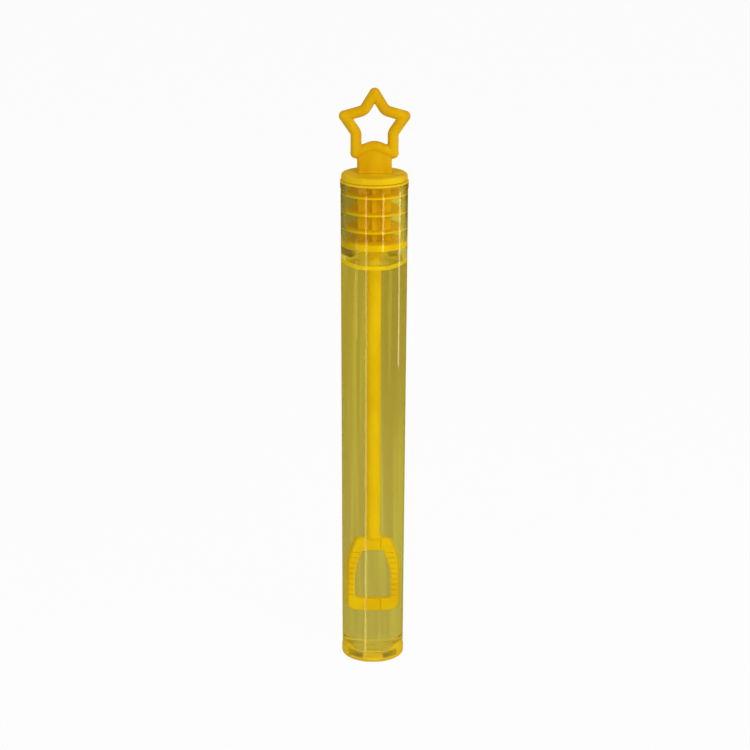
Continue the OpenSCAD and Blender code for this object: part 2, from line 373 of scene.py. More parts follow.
class Shader:
    """The node tree of one material or of the world."""

    def __init__(self, tree: bpy.types.NodeTree) -> None:
        """Takes up a tree and empties it."""
        self.tree = tree
        tree.nodes.clear()

    def node(self, kind: str, settings: dict[str, Any] | None = None,
             inputs: dict[Any, Any] | None = None) -> bpy.types.Node:
        """Adds a node, with its settings first and then what goes into its sockets.

        Args:
            kind: Type of the node, without the prefix that all types share.
            settings: Its settings.
            inputs: Value or link of each socket, by name or number.

        Returns:
            The node.
        """
        made = self.tree.nodes.new("ShaderNode" + kind)
        for key, value in (settings or {}).items():
            setattr(made, key, value)
        for key, value in (inputs or {}).items():
            source = value.socket if isinstance(value, Term) else value
            if isinstance(source, bpy.types.NodeSocket):
                self.tree.links.new(source, made.inputs[key])
            else:
                made.inputs[key].default_value = source
        return made

    def math(self, operation: str, *values: Number) -> Term:
        """Adds a Math node and returns its result."""
        made = self.node("Math", {"operation": operation}, dict(enumerate(values)))
        return Term(self, made.outputs[0])

    def place(self, stretch: Triple = (1, 1, 1)) -> bpy.types.NodeSocket:
        """The place on the object, scaled along each axis."""
        coords = self.node("TexCoord").outputs["Object"]
        return self.node("Mapping", inputs={"Vector": coords, "Scale": stretch}).outputs[0]

    @cached_property
    def axes(self) -> tuple[Term, Term, Term]:
        """X, Y and Z of the place on the object."""
        split = self.node("SeparateXYZ", inputs={0: self.place()})
        return tuple(Term(self, out) for out in split.outputs)

    @cached_property
    def radius(self) -> Term:
        """Distance from the Z axis."""
        across, deep, _ = self.axes
        return (across * across + deep * deep).math("SQRT")

    def noise(self, size: float, detail: float = 2, stretch: Triple = (1, 1, 1)) -> Term:
        """Soft random variation from 0 to 1, in patches of a size, drawn out by a stretch."""
        made = self.node("TexNoise", inputs={
            "Vector": self.place(stretch), "Scale": 1 / size, "Detail": detail})
        return Term(self, made.outputs["Fac"])

    def between(self, value: Number, low: Number, high: Number) -> Term:
        """Smooth step from 0 at low to 1 at high."""
        made = self.node("MapRange", {"interpolation_type": "SMOOTHSTEP"},
                         {0: value, 1: low, 2: high, 3: 0.0, 4: 1.0})
        return Term(self, made.outputs[0])

    def beyond(self, value: Number, step: Point, start: float = 0) -> Term:
        """Smooth step over a pair of values, counted from a start."""
        return self.between(value, start + step[0], start + step[1])

    def blend(self, share: Number, first: Any, second: Any) -> bpy.types.NodeSocket:
        """Mix of two colours or their sockets, by the share of the second."""
        colours = [(*c, 1) if isinstance(c, tuple) else c for c in (first, second)]
        return self.node("Mix", {"data_type": "RGBA"}, {
            0: share, 6: colours[0], 7: colours[1]}).outputs[2]

    def bump(self, height: Term, depth: float) -> bpy.types.NodeSocket:
        """Normal of a surface relief, whose height of 1 stands for a depth."""
        return self.node("Bump", inputs={"Distance": depth, "Height": height}).outputs[0]

    def ray(self, *kinds: str) -> Term:
        """1 for rays of some kinds, else 0.

        Args:
            *kinds: One or two kinds of ray.

        Returns:
            The number.
        """
        path = self.node("LightPath")
        first, *others = (Term(self, path.outputs[f"Is {kind} Ray"]) for kind in kinds)
        return first.math("MAXIMUM", others[0]) if others else first

    def surface(self, shader: bpy.types.NodeSocket, world: bool = False) -> None:
        """Sends a shader to the output."""
        kind = "OutputWorld" if world else "OutputMaterial"
        self.node(kind, inputs={"Surface": shader})


# Finishes


@dataclass(frozen=True)
class Finish:
    """A finish of the object's pieces."""

    name: str
    slot: str

    def material(self) -> bpy.types.Material:
        """Makes the material the first time that it is asked for.

        Returns:
            The material.
        """
        made = bpy.data.materials.get(self.name)
        if made is None:
            made = bpy.data.materials.new(self.name)
            made.use_nodes = True
            self.paint(Shader(made.node_tree))
        return made

    def paint(self, shader: Shader) -> None:
        """Fills the material's node tree."""
        raise NotImplementedError


@dataclass(frozen=True)
class YellowMoulding(Finish):
    """Soft yellow plastic of the wand, with faint flow marks and a parting line."""

    name: str = "soft_yellow_plastic"
    slot: str = "yellow_moulding"
    deep: Colour = (0.7, 0.37, 0.003)
    bright: Colour = (0.77, 0.445, 0.004)
    sheen_tint: Colour = (0.7, 0.5, 0.04)
    flow_size: float = 3 * MM
    flow_stretch: Triple = (1, 1, 0.4)
    flow_step: Point = (0.35, 0.65)
    grain_size: float = 0.12 * MM
    parting_width: float = 0.09 * MM
    roughness: float = 0.3
    flow_roughness: float = 0.1
    grain_roughness: float = 0.08
    flow_height: float = 0.4
    grain_height: float = 0.05
    parting_height: float = 0.6
    relief: float = 0.02 * MM
    ior: float = 1.5
    specular: float = 0.15

    def paint(self, shader: Shader) -> None:
        """Fills the material's node tree.

        Args:
            shader: The node tree.
        """
        flow = shader.noise(self.flow_size, stretch=self.flow_stretch)
        grain = shader.noise(self.grain_size, detail=1)
        _, depth, _ = shader.axes
        parting = 1 - shader.between(abs(depth), 0, self.parting_width)
        relief = (self.grain_height * grain + self.flow_height * flow
                  + self.parting_height * parting)
        shader.surface(shader.node("BsdfPrincipled", inputs={
            "Base Color": shader.blend(
                shader.beyond(flow, self.flow_step), self.deep, self.bright),
            "Roughness": (self.roughness + self.flow_roughness * flow
                          + self.grain_roughness * grain),
            "IOR": self.ior,
            "Specular IOR Level": self.specular,
            "Specular Tint": (*self.sheen_tint, 1),
            "Normal": shader.bump(relief, self.relief),
        }).outputs[0])


@dataclass(frozen=True)
class LampGlass(Finish):
    """Clear matter that bends light, and lets the lamps through to what is behind it."""

    ior: float = 1.5
    lamp_tint: Colour = (1.0, 1.0, 0.97)
    sheen_tint: Colour = (0.55, 0.52, 0.32)
    haze_and_glow_roughness: float = 0.2

    def glass(self, shader: Shader, inputs: dict[str, Any], haze_and_glow: Number,
              haze_and_glow_colour: Colour) -> None:
        """Sends clear matter to the output, with a stand-in for rays that only carry light.

        Args:
            shader: The node tree.
            inputs: What goes into the sockets of the clear shader.
            haze_and_glow: Share of an opaque lit layer: a faint real haze, and painted light where
                raised.
            haze_and_glow_colour: Colour of that layer.
        """
        sheen = {"Specular Tint": (*self.sheen_tint, 1)}
        clear = shader.node("BsdfPrincipled", inputs={
            "IOR": self.ior, "Transmission Weight": 1.0, **sheen, **inputs})
        thick = shader.node("BsdfPrincipled", inputs={
            "Base Color": (*haze_and_glow_colour, 1), "Roughness": self.haze_and_glow_roughness, **sheen})
        matter = shader.node("MixShader", inputs={
            0: haze_and_glow, 1: clear.outputs[0], 2: thick.outputs[0]})
        lamps = shader.node("BsdfTransparent", inputs={"Color": (*self.lamp_tint, 1)})
        shader.surface(shader.node("MixShader", inputs={
            0: shader.ray("Shadow", "Diffuse"), 1: matter.outputs[0],
            2: lamps.outputs[0]}).outputs[0])


@dataclass(frozen=True)
class TubePlastic(LampGlass):
    """Clear yellow plastic of the tube, more golden in its floor and at its rim.

    Light takes the plastic's full colour where it leaves through the outer face, so that the
    tube is deep against the studio and what stands in the bore keeps its own colour. The gold
    at the rim is painted glow, and at the foot partly thick plastic and partly painted glow.
    Painted shade darkens the wall beside the fins, under the end disc and on the right part way
    up the solution, and lays olive over the foot's back and in patches; painted light lightens
    the wall right of the fins.
    """

    name: str = "clear_tube_plastic"
    slot: str = "clear_tube"
    skin: Colour = (0.98, 0.97, 0.12)
    shaded_skin: Colour = (0.6, 0.62, 0.12)
    bore_skin: Colour = (0.99, 0.99, 0.85)
    finned_shade: Colour = (0.06, 0.038, 0.003)
    finned_lit_right: Colour = (0.38, 0.28, 0.035)
    disc_shade: Colour = (0.11, 0.07, 0.012)
    dry: Colour = (0.31, 0.23, 0.034)
    upper: Colour = (0.145, 0.092, 0.014)
    lower: Colour = (0.172, 0.13, 0.058)
    gold: Colour = (0.86, 0.56, 0.01)
    olive: Colour = (0.2, 0.17, 0.01)
    glow: Colour = (0.95, 0.62, 0.01)
    roughness: float = 0.02
    bore_step: Point = (0.915, 0.92)
    streak_size: float = 0.5 * MM
    streak_stretch: Triple = (1, 1, 0.01)
    streak_step: Point = (0.4, 0.7)
    streak_depth: float = 0.12
    wetted_step: Point = mm(-1, 0)
    finned_shade_step: Point = mm(-0.6, 0.4)
    right_step: Point = mm(2.5, 4.5)
    right_end: Point = mm(5.35, 5.75)
    wedge_left: Point = mm(2.2, 4.2)
    wedge_right: Point = mm(1.8, 2.8)
    wedge_right_end: Point = mm(3.9, 4.7)
    wedge_right_share: float = 0.7
    wedge_drop: float = 1.15 * MM
    wedge_foot: Point = mm(-0.1, 0.15)
    wedge_top: Point = mm(0.15, 0.25)
    shade_step: Point = mm(-4, -1.5)
    right_shade_step: Point = mm(1.2, 2.2)
    right_shade_rise: Point = mm(38, 58)
    right_shade_depth: float = 0.55
    haze: float = 0.03
    rim_step: Point = mm(-0.42, -0.3)
    rim_glow: float = 0.75
    front_step: Point = mm(-1, 3)
    flank_step: Point = mm(2.4, 4.2)
    gold_heights: Triple = mm(0.8, 1.4, 1.2)
    gold_fade: float = 0.8 * MM
    foot_glow: float = 0.45
    flank_glow: float = 0.2
    patch_count: int = 5
    patch_noise: float = 0.9
    patch_size: float = 1.2 * MM
    patch_step: Point = (0.25, 0.75)
    patch_foot: Point = mm(0.6, 0.9)
    patch_top: Point = mm(1.7, 2.3)
    patch_side: Point = mm(4.1, 5.0)
    patch_glow_cut: float = 0.85
    bore_gold: Point = (0.35, 0.65)
    edge_shade: Point = (0.2, 0.4)
    edge_shade_step: Point = mm(0.8, 1.5)

    def paint(self, shader: Shader) -> None:
        """Fills the material's node tree.

        Args:
            shader: The node tree.
        """
        across, deep, height = shader.axes
        _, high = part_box("tube")
        bore = 1 - shader.beyond(shader.radius / high.x, self.bore_step)
        wall = self.wall(shader, bore)
        # Painted glow: the rim is gold and partly opaque, for light carried up the wall into it.
        rim = shader.beyond(height, self.rim_step, high.z)
        front = 1 - shader.beyond(deep, self.front_step)
        flank = shader.beyond(abs(across), self.flank_step) * front
        patches = self.patches(shader)
        # Gold round the foot: partly the thick floor's deeper yellow, partly painted glow, taller
        # at front and flanks.
        low_gold, front_gold, flank_gold = self.gold_heights
        gold_top = low_gold + front_gold * front + flank_gold * flank
        foot = (1 - shader.between(height, gold_top - self.gold_fade, gold_top)) * (
            1 - bore * (self.bore_gold[0] + self.bore_gold[1] * patches))
        # Painted shade: olive along the foot's bottom edge, stronger away from the middle.
        edge = (1 - shader.beyond(height, self.patch_foot)) * (
            self.edge_shade[0]
            + self.edge_shade[1] * shader.beyond(abs(across), self.edge_shade_step))
        # Painted shade: olive over the back of the foot, in its patches and along its bottom edge.
        self.glass(shader, {
            "Base Color": shader.blend(foot + rim, wall, shader.blend(
                (patches + edge + 1 - front) * (1 - rim), self.gold, self.olive)),
            "Roughness": self.roughness,
        }, self.haze + self.rim_glow * rim + (
            self.foot_glow * (1 - self.patch_glow_cut * patches)
            + self.flank_glow * flank) * foot, self.glow)

    def wall(self, shader: Shader, bore: Term) -> bpy.types.NodeSocket:
        """Colour of the wall over its foot, with painted shade and painted light in it.

        Args:
            shader: The node tree.
            bore: 1 on the inner face, else 0.

        Returns:
            The colour: pale where light enters, and full where it leaves the outer face.
        """
        across, _, height = shader.axes
        low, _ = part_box("tube")
        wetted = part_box("bubble_solution")[1].z
        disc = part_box("plug_end_disc")[0].z
        # Painted shade beside the fins: dark, with painted light making it lighter on the right.
        finned_shade = shader.beyond(height, self.finned_shade_step, disc)
        right = shader.beyond(across, self.right_step) * (
            1 - shader.beyond(across, self.right_end))
        full = shader.blend(shader.between(height, low.z, wetted), self.lower, self.upper)
        full = shader.blend(shader.beyond(height, self.wetted_step, wetted), full, self.dry)
        full = shader.blend(finned_shade, full, shader.blend(right, self.finned_shade, self.finned_lit_right))
        # Painted shade: darker on the left beside the fins, and on the right from part way up the
        # solution.
        shade = (1 - shader.beyond(across, self.shade_step)) * finned_shade
        right_shade = shader.beyond(across, self.right_shade_step) * shader.beyond(
            height, self.right_shade_rise) * (1 - finned_shade) * self.right_shade_depth
        entering = shader.blend(shade + right_shade, self.skin, self.shaded_skin)
        # Painted shade: dark wedges under the stopper's end disc.
        entering = shader.blend(self.wedges(shader), entering, self.disc_shade)
        leaving = Term(shader, shader.node("NewGeometry").outputs["Backfacing"])
        streaks = shader.noise(self.streak_size, stretch=self.streak_stretch)
        share = leaving * (1 - self.streak_depth * shader.beyond(streaks, self.streak_step))
        return shader.blend(bore, shader.blend(share, entering, full), self.bore_skin)

    def wedges(self, shader: Shader) -> Term:
        """Share of the painted shade: dark wedges that hug the stopper's end disc from below.

        Args:
            shader: The node tree.

        Returns:
            The share.
        """
        across, _, height = shader.axes
        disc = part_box("plug_end_disc")[0].z
        reach = shader.beyond(-1 * across, self.wedge_left) + (
            self.wedge_right_share * shader.beyond(across, self.wedge_right)
            * (1 - shader.beyond(across, self.wedge_right_end)))
        drop = self.wedge_drop * reach
        return shader.beyond(height + drop, self.wedge_foot, disc) * (
            1 - shader.beyond(height, self.wedge_top, disc)) * reach

    def patches(self, shader: Shader) -> Term:
        """Share of the painted shade in olive patches round the foot, which stay off its sides.

        Args:
            shader: The node tree.

        Returns:
            The share.
        """
        across, deep, height = shader.axes
        patch_wave = (self.patch_count * across.math("ARCTAN2", deep)).math("COSINE") + (
            self.patch_noise * shader.noise(self.patch_size, detail=1))
        return shader.beyond(patch_wave, self.patch_step) * (
            shader.beyond(height, self.patch_foot)
            * (1 - shader.beyond(abs(across), self.patch_side))
            * (1 - shader.beyond(height, self.patch_top)))


@dataclass(frozen=True)
class SolutionLiquid(LampGlass):
    """Bubble solution, all but clear in so narrow a tube."""

    name: str = "yellow_liquid"
    slot: str = "solution"
    ior: float = 1.33
    top: Colour = (0.95, 0.94, 0.84)
    foot: Colour = (0.97, 0.97, 0.93)
    surface_reflection: Colour = (0.9, 0.76, 0.1)
    surface_reflection_share: float = 0.6
    surface_step: Point = mm(-1, -0.8)
    wall_step: Point = (0.96, 0.99)

    def paint(self, shader: Shader) -> None:
        """Fills the material's node tree.

        Args:
            shader: The node tree.
        """
        low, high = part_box("bubble_solution")
        _, _, height = shader.axes
        # Painted reflection: an opaque gold layer over the solution's top, away from the wall.
        surface = shader.beyond(height, self.surface_step, high.z) * (
            1 - shader.beyond(shader.radius / high.x, self.wall_step))
        self.glass(shader, {
            "Base Color": shader.blend(shader.between(height, low.z, high.z), self.foot, self.top),
            "Roughness": 0.0,
        }, self.surface_reflection_share * surface, self.surface_reflection)


@dataclass(frozen=True)
class MeniscusGlow(Finish):
    """The solution's climbing edge: an opaque ring whose gold is painted glow, for light it
    gathers at the wall.
    """

    name: str = "golden_meniscus"
    slot: str = "solution"
    outside: Colour = (0.88, 0.61, 0.009)
    inside: Colour = (0.8, 0.6, 0.04)
    outer_step: Point = (1.0, 1.006)
    ripple_size: float = 0.6 * MM
    roughness: float = 0.1
    relief: float = 0.01 * MM
    ior: float = 1.33

    def paint(self, shader: Shader) -> None:
        """Fills the material's node tree.

        Args:
            shader: The node tree.
        """
        _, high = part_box("bubble_solution")
        outer = shader.beyond(shader.radius / high.x, self.outer_step)
        ripple = shader.noise(self.ripple_size)
        shader.surface(shader.node("BsdfPrincipled", inputs={
            "Base Color": shader.blend(outer, self.inside, self.outside),
            "Roughness": self.roughness + self.roughness * ripple,
            "IOR": self.ior,
            "Normal": shader.bump(ripple, self.relief),
        }).outputs[0])


# The bottle


@dataclass
class ClearTube:
    """Moulded tube with a lip, a flared foot and a hollow under its floor."""

    finish: Finish
    wall: float = 0.75 * MM
    draft: float = 0.35 * MM
    lip: Point = mm(0.08, 1.3)
    rim_radius: float = 0.15 * MM
    foot: Point = mm(0.08, 1.6)
    heel_radius: float = 0.4 * MM
    floor: float = 1.7 * MM
    corner_radius: float = 0.6 * MM
    hollow: Point = mm(3.8, 0.4)
    gate: Point = mm(0.85, 0.25)
    levels: tuple[float, ...] = mm(20, 40, 60, 75)
    corner_steps: int = 8
    rim_steps: int = 4
    heel_steps: int = 6
    sides: int = 144

    def __post_init__(self) -> None:
        """Takes the tube's height and width from its CAD node."""
        _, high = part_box("tube")
        self.height = high.z
        self.mouth = high.x - self.lip[0]

    def outer(self, z: float) -> float:
        """Outer radius at a height."""
        return self.mouth - self.draft * (1 - z / self.height)

    def bore(self, z: float) -> float:
        """Inner radius at a height."""
        return self.outer(z) - self.wall

    def floor_curve(self, sunk: float = 0) -> list[Point]:
        """Rounding from the floor to the bore, sunk into the wall or not."""
        r = self.corner_radius
        return arc((self.bore(self.floor) - r, self.floor + r), r + sunk, -90, 0,
                   self.corner_steps)

    def profile(self) -> list[Point]:
        """The tube's section, from the middle of its floor round to the gate under it.

        Returns:
            Radius and height of each point.
        """
        h, rim, heel = self.height, self.rim_radius, self.heel_radius
        lip_r, foot_r = self.mouth + self.lip[0], self.outer(0) + self.foot[0]
        lip_z, foot_z = h - self.lip[1], self.foot[1]
        return [
            (0, self.floor),
            *self.floor_curve(),
            *[(self.bore(z), z) for z in self.levels],
            *arc((self.bore(h) + rim, h - rim), rim, 180, 90, self.rim_steps),
            *arc((lip_r - rim, h - rim), rim, 90, 0, self.rim_steps),
            (lip_r, lip_z), (self.outer(lip_z), lip_z - self.lip[0]),
            *[(self.outer(z), z) for z in reversed(self.levels)],
            (self.outer(foot_z), foot_z + self.foot[0]), (foot_r, foot_z),
            *arc((foot_r - heel, heel), heel, 0, -90, self.heel_steps),
            (self.hollow[0], 0), self.hollow, (self.gate[0], self.hollow[1]),
            (self.gate[0], self.gate[1]), (0, self.gate[1]),
        ]

    def build(self) -> None:
        """Spins the tube."""
        BENCH.lathe("tube_shell", self.profile(), self.sides)
        BENCH.finish(Body.BOTTLE, ["tube"], self.finish)


@dataclass
class Solution:
    """Bubble solution, which wets the tube's wall and climbs at the wall and at the stem."""

    finish: Finish
    edge_finish: Finish
    tube: ClearTube
    wetting: float = 0.05 * MM
    stem_radius: float = 0.925 * MM
    stem_reach: float = 1.2 * MM
    stem_climb: float = 0.5 * MM
    stem_power: float = 2.5
    stem_steps: int = 8
    edge_rise: float = 0.75 * MM
    edge_width: float = 0.9 * MM
    edge_power: float = 2.2
    edge_steps: int = 12
    band: float = 0.03 * MM
    band_drop: float = 0.1 * MM
    band_top: float = 0.62 * MM
    side_rise: float = 0.4 * MM
    side_start: float = 0.5
    side_pace: float = 0.06
    side_steps: int = 8

    def build(self) -> None:
        """Spins the solution's body and its climbing edge."""
        _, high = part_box("bubble_solution")
        level = high.z - self.edge_rise
        tube, wet = self.tube, self.wetting
        wall = tube.bore(level) + wet
        stem = [(self.stem_radius - wet + self.stem_reach * (1 - t),
                 level + self.stem_climb * t ** self.stem_power)
                for t in even(self.stem_steps)]
        climb = [(wall - self.edge_width * t,
                  level + self.edge_rise * (1 - t) ** self.edge_power)
                 for t in even(self.edge_steps)]
        BENCH.lathe("solution_body", [
            (0, tube.floor - wet),
            *tube.floor_curve(wet),
            *[(tube.bore(z) + wet, z) for z in tube.levels if z < level],
            *climb, *stem, (0, level + self.stem_climb),
        ], tube.sides)
        BENCH.finish(Body.BOTTLE, ["bubble_solution"], self.finish)
        # Painted glow: the climbing edge is a thin opaque ring, dressed in gold for light gathered
        # there.
        inner, outer = wall - wet - self.band, wall - wet + self.band
        bottom, top = level - self.band_drop, level + self.band_top
        BENCH.lathe("solution_edge", [
            (inner, bottom), (outer, bottom), (outer, top), (inner, top),
        ], tube.sides, closed=True)
        for step in range(self.side_steps):
            start = (self.side_start + self.side_pace * step) * wall
            BENCH.pick(Pick.VERTICES, lambda v: abs(v.co.x) > start)
            bpy.ops.transform.translate(value=(0, 0, self.side_rise / self.side_steps))
        BENCH.finish(Body.BOTTLE, ["bubble_solution"], self.edge_finish)


# The wand


@dataclass
class StarGrip:
    """Open star of round bead on a tab, to hold the wand by."""

    finish: Finish
    bead_radius: float = 0.955 * MM
    ball_radius: float = 0.975 * MM
    bend_radius: float = 1.45 * MM
    crotch_radius: float = 2.2 * MM
    neck: float = 2.5 * MM
    tab: Triple = mm(6.05, 1.4, 0.4)
    tab_rise: float = 1.9 * MM
    upright: float = 1 * MM
    facing_down: float = -0.9
    foot_inset: float = 0.01 * MM
    foot_flare: Point = mm(0.22, 0.6)
    flare_steps: int = 8
    edge: float = 0.958 * MM
    shares: tuple[Point, ...] = ((0, 1), (0.353, 0.713), (1, 0.62), (0.607, 0.336), (0.62, 0),
                                 (0, 0.13))
    bend_steps: int = 8
    voxel: float = 0.1 * MM
    smooth_share: float = 0.5
    smooth_rounds: int = 12

    def corners(self) -> list[Point]:
        """Corners of the bead's middle line.

        Returns:
            X and height of each corner, round from the top tip.
        """
        low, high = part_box("star_handle")
        half, bottom = high.x - self.edge, low.z + self.neck + self.edge
        rise = high.z - self.edge - bottom
        right = [(x * half, bottom + z * rise) for x, z in self.shares]
        return right + [(-x, z) for x, z in reversed(right[1:-1])]

    def middle_line(self) -> list[Point]:
        """The bead's middle line.

        Returns:
            The line, sharp at the tips and bent at its inward corners.
        """
        corners = self.corners()
        last = len(self.shares) - 1
        radii = [0 if i % 2 == 0 else self.crotch_radius if i == last else self.bend_radius
                 for i in range(len(corners))]
        return rounded(corners, radii, self.bend_steps)

    def build(self) -> None:
        """Lays the bead out of round bars, sets it on its tab and melts them into one."""
        low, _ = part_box("star_handle")
        width, thick, chamfer = self.tab
        top = low.z + self.neck + self.tab_rise
        BENCH.begin("star_grip", bpy.ops.mesh.primitive_cube_add, size=1,
                    location=(0, 0, (low.z + top) / 2), scale=(width, thick, top - low.z))
        BENCH.pick(Pick.EDGES, lambda e: abs(e.verts[0].co.z - e.verts[1].co.z) > self.upright)
        bpy.ops.mesh.bevel(offset=chamfer, segments=1, affect="EDGES")
        BENCH.pick(Pick.FACES, lambda f: f.normal.z < self.facing_down)
        bpy.ops.mesh.inset(thickness=self.foot_inset)
        places = [Vector((x, 0, z)) for x, z in self.middle_line()]
        for here, there in zip(places, places[1:] + places[:1]):
            BENCH.limb(here, there, self.bead_radius)
            BENCH.ball(here, self.bead_radius)
        for x, z in self.corners()[::2]:
            BENCH.ball(Vector((x, 0, z)), self.ball_radius)
        BENCH.modify("REMESH", mode="VOXEL", voxel_size=self.voxel)
        BENCH.modify("SMOOTH", factor=self.smooth_share, iterations=self.smooth_rounds)
        self.flare(low.z)
        BENCH.finish(Body.WAND, ["star_handle"], self.finish)

    def flare(self, bottom: float) -> None:
        """Spreads the tab's foot over the flange in a fillet.

        Args:
            bottom: Height of the tab's underside.
        """
        bpy.ops.object.mode_set(mode="EDIT")
        half = self.tab[0] / 2, self.tab[1] / 2
        out, up = self.foot_flare
        before = 0.0
        for share in even(self.flare_steps)[:-1]:
            reach = bottom + up * (1 - share)
            offset = out * (1 - math.sqrt(1 - (share + 1 / self.flare_steps) ** 2))
            BENCH.pick(Pick.VERTICES, lambda v: v.co.z < reach)
            grow = [(h + offset) / (h + before) for h in half]
            bpy.ops.transform.resize(value=(*grow, 1), center_override=(0, 0, bottom))
            before = offset


@dataclass
class Stopper:
    """Flange over the mouth, ribbed core, sealing fins and the disc that ends them."""

    finish: Finish
    tube: ClearTube
    flange_edge: float = 0.52 * MM
    flange_steps: int = 10
    flange_heel: float = 0.12 * MM
    heel_steps: int = 4
    flange_seat: float = 0.35 * MM
    spigot: float = 0.42 * MM
    spigot_taper: Point = mm(0.25, 0.15)
    core: Point = mm(5.7, 2.6)
    core_lap: float = 0.2 * MM
    core_edge: float = 0.1 * MM
    core_edge_steps: int = 3
    core_sharp: float = math.radians(40)
    cross_rib: float = 0.9 * MM
    rib_reach: float = 1.9 * MM
    flute: Point = mm(0.8, 0.2)
    fin_pitch: float = 3.05 * MM
    fin_count: int = 3
    fin: Point = mm(0.55, 0.4)
    fin_hub: float = 2.9 * MM
    fin_cone: Point = mm(3.3, 0.03)
    fin_lip: Point = (95, -65)
    fin_steps: int = 7
    cup: float = 0.42 * MM
    disc_edge: float = 0.22 * MM
    disc_steps: int = 6
    disc_dish: Triple = mm(0.9, 1.2, 0.15)
    press: float = 0.012 * MM
    sides: int = 128

    def flange(self) -> None:
        """Cap with a round shoulder and, under it, the spigot that centres it in the mouth."""
        low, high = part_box("mouth_flange")
        edge, heel, r = self.flange_edge, self.flange_heel, high.x
        bore, foot = self.tube.bore(low.z), low.z - self.spigot
        taper, tip = self.spigot_taper
        BENCH.lathe("flange_cap", [
            (0, high.z),
            *arc((r - edge, high.z - edge), edge, 90, 0, self.flange_steps),
            *arc((r - heel, low.z + heel), heel, 0, -90, self.heel_steps),
            (bore - self.flange_seat, low.z), (bore + self.press, low.z - heel),
            (bore + self.press, foot), (bore - taper, foot - tip), (0, foot - tip),
        ], self.sides)
        BENCH.finish(Body.WAND, ["mouth_flange"], self.finish)

    def ribs(self) -> None:
        """Core: a wide rib across the front, fluted on each side of a thin rib."""
        low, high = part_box("plug_core")
        w, t = self.core[0] / 2, self.core[1] / 2
        rib, (flute, sunk) = self.cross_rib / 2, self.flute
        quarter = [(w, 0), (w, t), (rib + flute, t), (rib + flute, t - sunk), (rib, t - sunk),
                   (rib, self.rib_reach)]
        half = quarter + [(-x, y) for x, y in reversed(quarter)]
        plan = half + [(x, -y) for x, y in reversed(half[1:-1])]
        BENCH.prism("fluted_core", plan, low.z - self.core_lap, high.z)
        BENCH.modify("BEVEL", width=self.core_edge, segments=self.core_edge_steps,
                     limit_method="ANGLE", angle_limit=self.core_sharp)
        BENCH.finish(Body.WAND, ["plug_core"], self.finish)

    def fins(self) -> None:
        """Sealing fins: one spun, and the others copied from it at the bore's width there."""
        low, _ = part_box("plug_end_disc")
        root, tip = self.fin
        first = low.z + self.fin_pitch
        bore = self.tube.bore(first) + self.press
        middle = first + root / 2
        top, bottom = middle - self.cup + root / 2, middle - self.cup - root / 2
        out, rise = self.fin_cone
        BENCH.lathe("sealing_fin_1", [
            (0, top), (self.fin_hub, top), (out, top + rise),
            *arc((bore - tip / 2, middle), tip / 2, *self.fin_lip, self.fin_steps),
            (out, bottom + rise), (self.fin_hub, bottom), (0, bottom),
        ], self.sides)
        pattern = BENCH.piece
        BENCH.finish(Body.WAND, ["seal_fins"], self.finish)
        for i in range(1, self.fin_count):
            BENCH.take(pattern)
            bpy.ops.object.duplicate()
            BENCH.piece = bpy.context.active_object
            BENCH.piece.name = BENCH.piece.data.name = f"sealing_fin_{i + 1}"
            wider = (self.tube.bore(first + i * self.fin_pitch) + self.press) / bore
            bpy.ops.object.mode_set(mode="EDIT")
            bpy.ops.mesh.select_all(action="SELECT")
            bpy.ops.transform.resize(value=(wider, wider, 1), center_override=(0, 0, 0))
            bpy.ops.transform.translate(value=(0, 0, i * self.fin_pitch))
            BENCH.finish(Body.WAND, ["seal_fins"], self.finish)

    def end_disc(self) -> None:
        """Thicker disc with soft edges, dished underneath."""
        low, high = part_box("plug_end_disc")
        bore, soft = self.tube.bore(low.z) + self.press, self.disc_edge
        rim, dish, sunk = self.disc_dish
        BENCH.lathe("stopper_end_disc", [
            (0, high.z),
            *arc((bore - soft, high.z - soft), soft, 90, 0, self.disc_steps),
            *arc((bore - soft, low.z + soft), soft, 0, -90, self.disc_steps),
            (bore - rim, low.z), (bore - dish, low.z + sunk), (0, low.z + sunk),
        ], self.sides)
        BENCH.finish(Body.WAND, ["plug_end_disc"], self.finish)

    def build(self) -> None:
        """Models the stopper from its flange down."""
        self.flange()
        self.ribs()
        self.fins()
        self.end_disc()


@dataclass
class DippingStem:
    """Collar and round stem that carry the loop."""

    finish: Finish
    lap: float = 0.3 * MM
    collar_fillet: float = 0.35 * MM
    fillet_rise: float = 0.15 * MM
    fillet_steps: int = 6
    collar_edge: float = 0.18 * MM
    edge_turn: float = -80
    edge_steps: int = 5
    waist: float = 0.99
    waist_drop: float = 20 * MM
    foot_flare: float = 0.28 * MM
    flare_share: float = 0.3
    flare_heights: float = 3
    sunk: float = 0.5 * MM
    sides: int = 64

    def build(self) -> None:
        """Spins the collar and the stem."""
        low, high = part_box("stem_collar")
        r, fillet, edge = high.x, self.collar_fillet, self.collar_edge
        BENCH.lathe("stem_collar_fillet", [
            (0, high.z + self.lap), (r + fillet, high.z + self.lap),
            *arc((r + fillet, high.z - fillet + self.fillet_rise), fillet, 90, 180,
                 self.fillet_steps),
            *arc((r - edge, low.z + edge), edge, 0, self.edge_turn, self.edge_steps),
            (0, low.z),
        ], self.sides)
        BENCH.finish(Body.WAND, ["stem_collar"], self.finish)
        low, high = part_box("wand_stem")
        r, flare, waist = high.x, self.foot_flare, high.x * self.waist
        BENCH.lathe("stem_rod", [
            (0, high.z + self.lap), (r, high.z + self.lap), (waist, high.z - self.waist_drop),
            (waist, low.z + self.flare_heights * flare),
            (r + self.flare_share * flare, low.z + flare), (r + flare, low.z),
            (r, low.z - self.sunk), (0, low.z - self.sunk),
        ], self.sides)
        BENCH.finish(Body.WAND, ["wand_stem"], self.finish)


